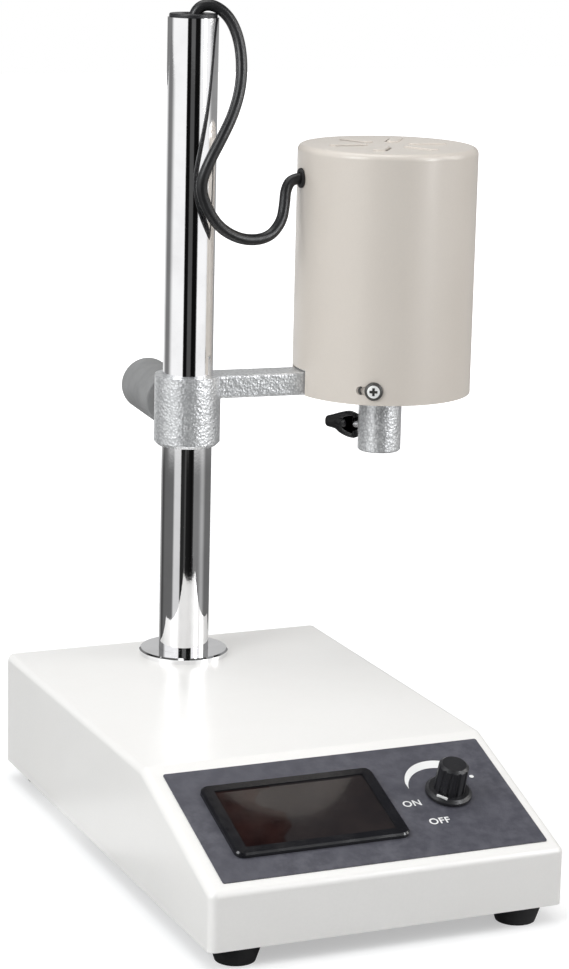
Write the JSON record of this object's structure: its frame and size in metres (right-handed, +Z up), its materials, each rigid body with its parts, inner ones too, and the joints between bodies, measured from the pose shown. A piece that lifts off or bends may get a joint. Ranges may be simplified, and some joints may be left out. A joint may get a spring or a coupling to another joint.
{
  "type": "rotor stator homogenizer",
  "caption": "Bench homogenizer stand: a motor head with a tool socket clamps on an upright column over a sloping control base with display and speed knob.",
  "frame": {"origin": "on the bench, under the middle of the outline without the motor cord", "axes": "+Z up along the column, +X to the right of the control panel, +Y from the panel to the back of the base"},
  "size_m": [0.235, 0.3233, 0.3932],
  "materials": {
    "base_paint": "satin off-white paint",
    "cover_paint": "satin warm grey paint",
    "cast_aluminium": "sand-cast, hammered",
    "chrome": "polished",
    "steel": "machined",
    "zinc_steel": "zinc-plated",
    "lamination": "stacked sheet edges",
    "winding": "enamelled wire",
    "copper": "machined",
    "brass": "machined",
    "black_rubber": "matte",
    "black_cord": "satin",
    "carbon": "matte",
    "label": "satin print",
    "black_plastic": "gloss",
    "matte_black_plastic": "matte",
    "grey_plastic": "matte",
    "smoky_window": "smoked, gloss",
    "digit_face": "gloss",
    "board": "satin",
    "green_plastic": "satin",
    "capacitor": "gloss sleeve",
    "sink_aluminium": "black anodised"
  },
  "bodies": {
    "base": {"base_cover": "base_paint", "bottom_plate": "zinc_steel", "bottom_screws": "zinc_steel", "rubber_feet": "black_rubber", "foot_screws": "zinc_steel", "foot_nuts": "zinc_steel", "control_panel_label": "label", "display_bezel": "black_plastic", "display_window": "smoky_window", "display_board": "board", "display_digits": "digit_face", "speed_potentiometer": "zinc_steel", "potentiometer_nut": "zinc_steel", "board_standoffs": "brass", "control_board": "board", "terminal_block": "green_plastic", "heat_sink": "sink_aluminium", "board_capacitors": "capacitor", "transformer_core": "lamination", "transformer_winding": "winding", "transformer_strap": "zinc_steel", "power_inlet": "matte_black_plastic", "inlet_pins": "brass", "inlet_screws": "zinc_steel", "fuse_holder": "matte_black_plastic", "column_flange": "chrome", "column_tube": "chrome", "column_nut": "zinc_steel", "column_cable": "black_cord"},
    "cord_swivel": {"cord_bush": "matte_black_plastic", "motor_cord": "black_cord"},
    "head": {"head_casting": "cast_aluminium", "motor_cover": "cover_paint", "cover_screws": "chrome", "cord_grommet": "black_rubber", "field_core": "lamination", "field_coils": "winding", "upper_bracket": "cast_aluminium", "tie_bolts": "zinc_steel", "core_spacers": "steel", "brush_holders": "brass", "carbon_brushes": "carbon", "brush_springs": "steel", "shaft_bearings": "steel"},
    "rotor": {"motor_shaft": "steel", "armature_core": "lamination", "armature_windings": "winding", "commutator": "copper", "cooling_fan": "matte_black_plastic", "drive_coupling": "steel"},
    "clamp_slider": {"clamp_pad": "brass"},
    "clamp_turner": {"clamp_screw": "zinc_steel", "clamp_knob": "grey_plastic"},
    "tool_clamp_slider": {"tool_clamp_tip": "brass"},
    "tool_clamp_turner": {"tool_clamp_screw": "steel", "tool_clamp_knob": "matte_black_plastic"},
    "speed_control": {"speed_knob": "matte_black_plastic", "potentiometer_shaft": "steel"},
    "fuse_carrier": {"fuse": "zinc_steel"},
    "fuse_cap": {"fuse_cap": "matte_black_plastic"}
  },
  "joints": [
    {"name": "head_swing", "type": "hinge", "parent": "base", "child": "cord_swivel", "pos_m": [-0.03249, 0.08783, 0.3846], "axis": [0, 0, 1], "range_deg": [-180, 90]},
    {"name": "head_height", "type": "slide", "parent": "cord_swivel", "child": "head", "axis": [0, 0, 1], "range_m": [-0.095, 0.165], "deforming": ["motor_cord"]},
    {"name": "column_clamp_travel", "type": "slide", "parent": "head", "child": "clamp_slider", "axis": [0.0785, 0.9969, 0], "range_m": [0, 0.00187]},
    {"name": "column_clamp_turn", "type": "hinge", "parent": "clamp_slider", "child": "clamp_turner", "pos_m": [-0.03033, 0.11524, 0.1905], "axis": [0.0785, 0.9969, 0], "range_deg": [0, 540]},
    {"name": "tool_clamp_travel", "type": "slide", "parent": "head", "child": "tool_clamp_slider", "axis": [-0.5807, 0.8141, 0], "range_m": [0, 0.0008]},
    {"name": "tool_clamp_turn", "type": "hinge", "parent": "tool_clamp_slider", "child": "tool_clamp_turner", "pos_m": [0.06167, 0.09156, 0.1773], "axis": [-0.5807, 0.8141, 0], "range_deg": [0, 360]},
    {"name": "motor_spin", "type": "hinge", "parent": "head", "child": "rotor", "pos_m": [0.07009, 0.07975, 0.236], "axis": [0, 0, 1], "continuous": true},
    {"name": "speed_knob_turn", "type": "hinge", "parent": "base", "child": "speed_control", "pos_m": [0.01551, -0.11775, 0.05075], "axis": [0, -0.3279, 0.9447], "range_deg": [-300, 0]},
    {"name": "fuse_pull", "type": "slide", "parent": "base", "child": "fuse_carrier", "axis": [0, 1, 0], "range_m": [0, 0.035]},
    {"name": "fuse_cap_turn", "type": "hinge", "parent": "fuse_carrier", "child": "fuse_cap", "pos_m": [-0.10549, 0.11832, 0.034], "axis": [0, 1, 0], "range_deg": [0, 90]}
  ],
  "couplings": [
    {"joint": "column_clamp_turn", "follows": "column_clamp_travel", "rad_per_m": 5026.5},
    {"joint": "tool_clamp_turn", "follows": "tool_clamp_travel", "rad_per_m": 7854}
  ]
}
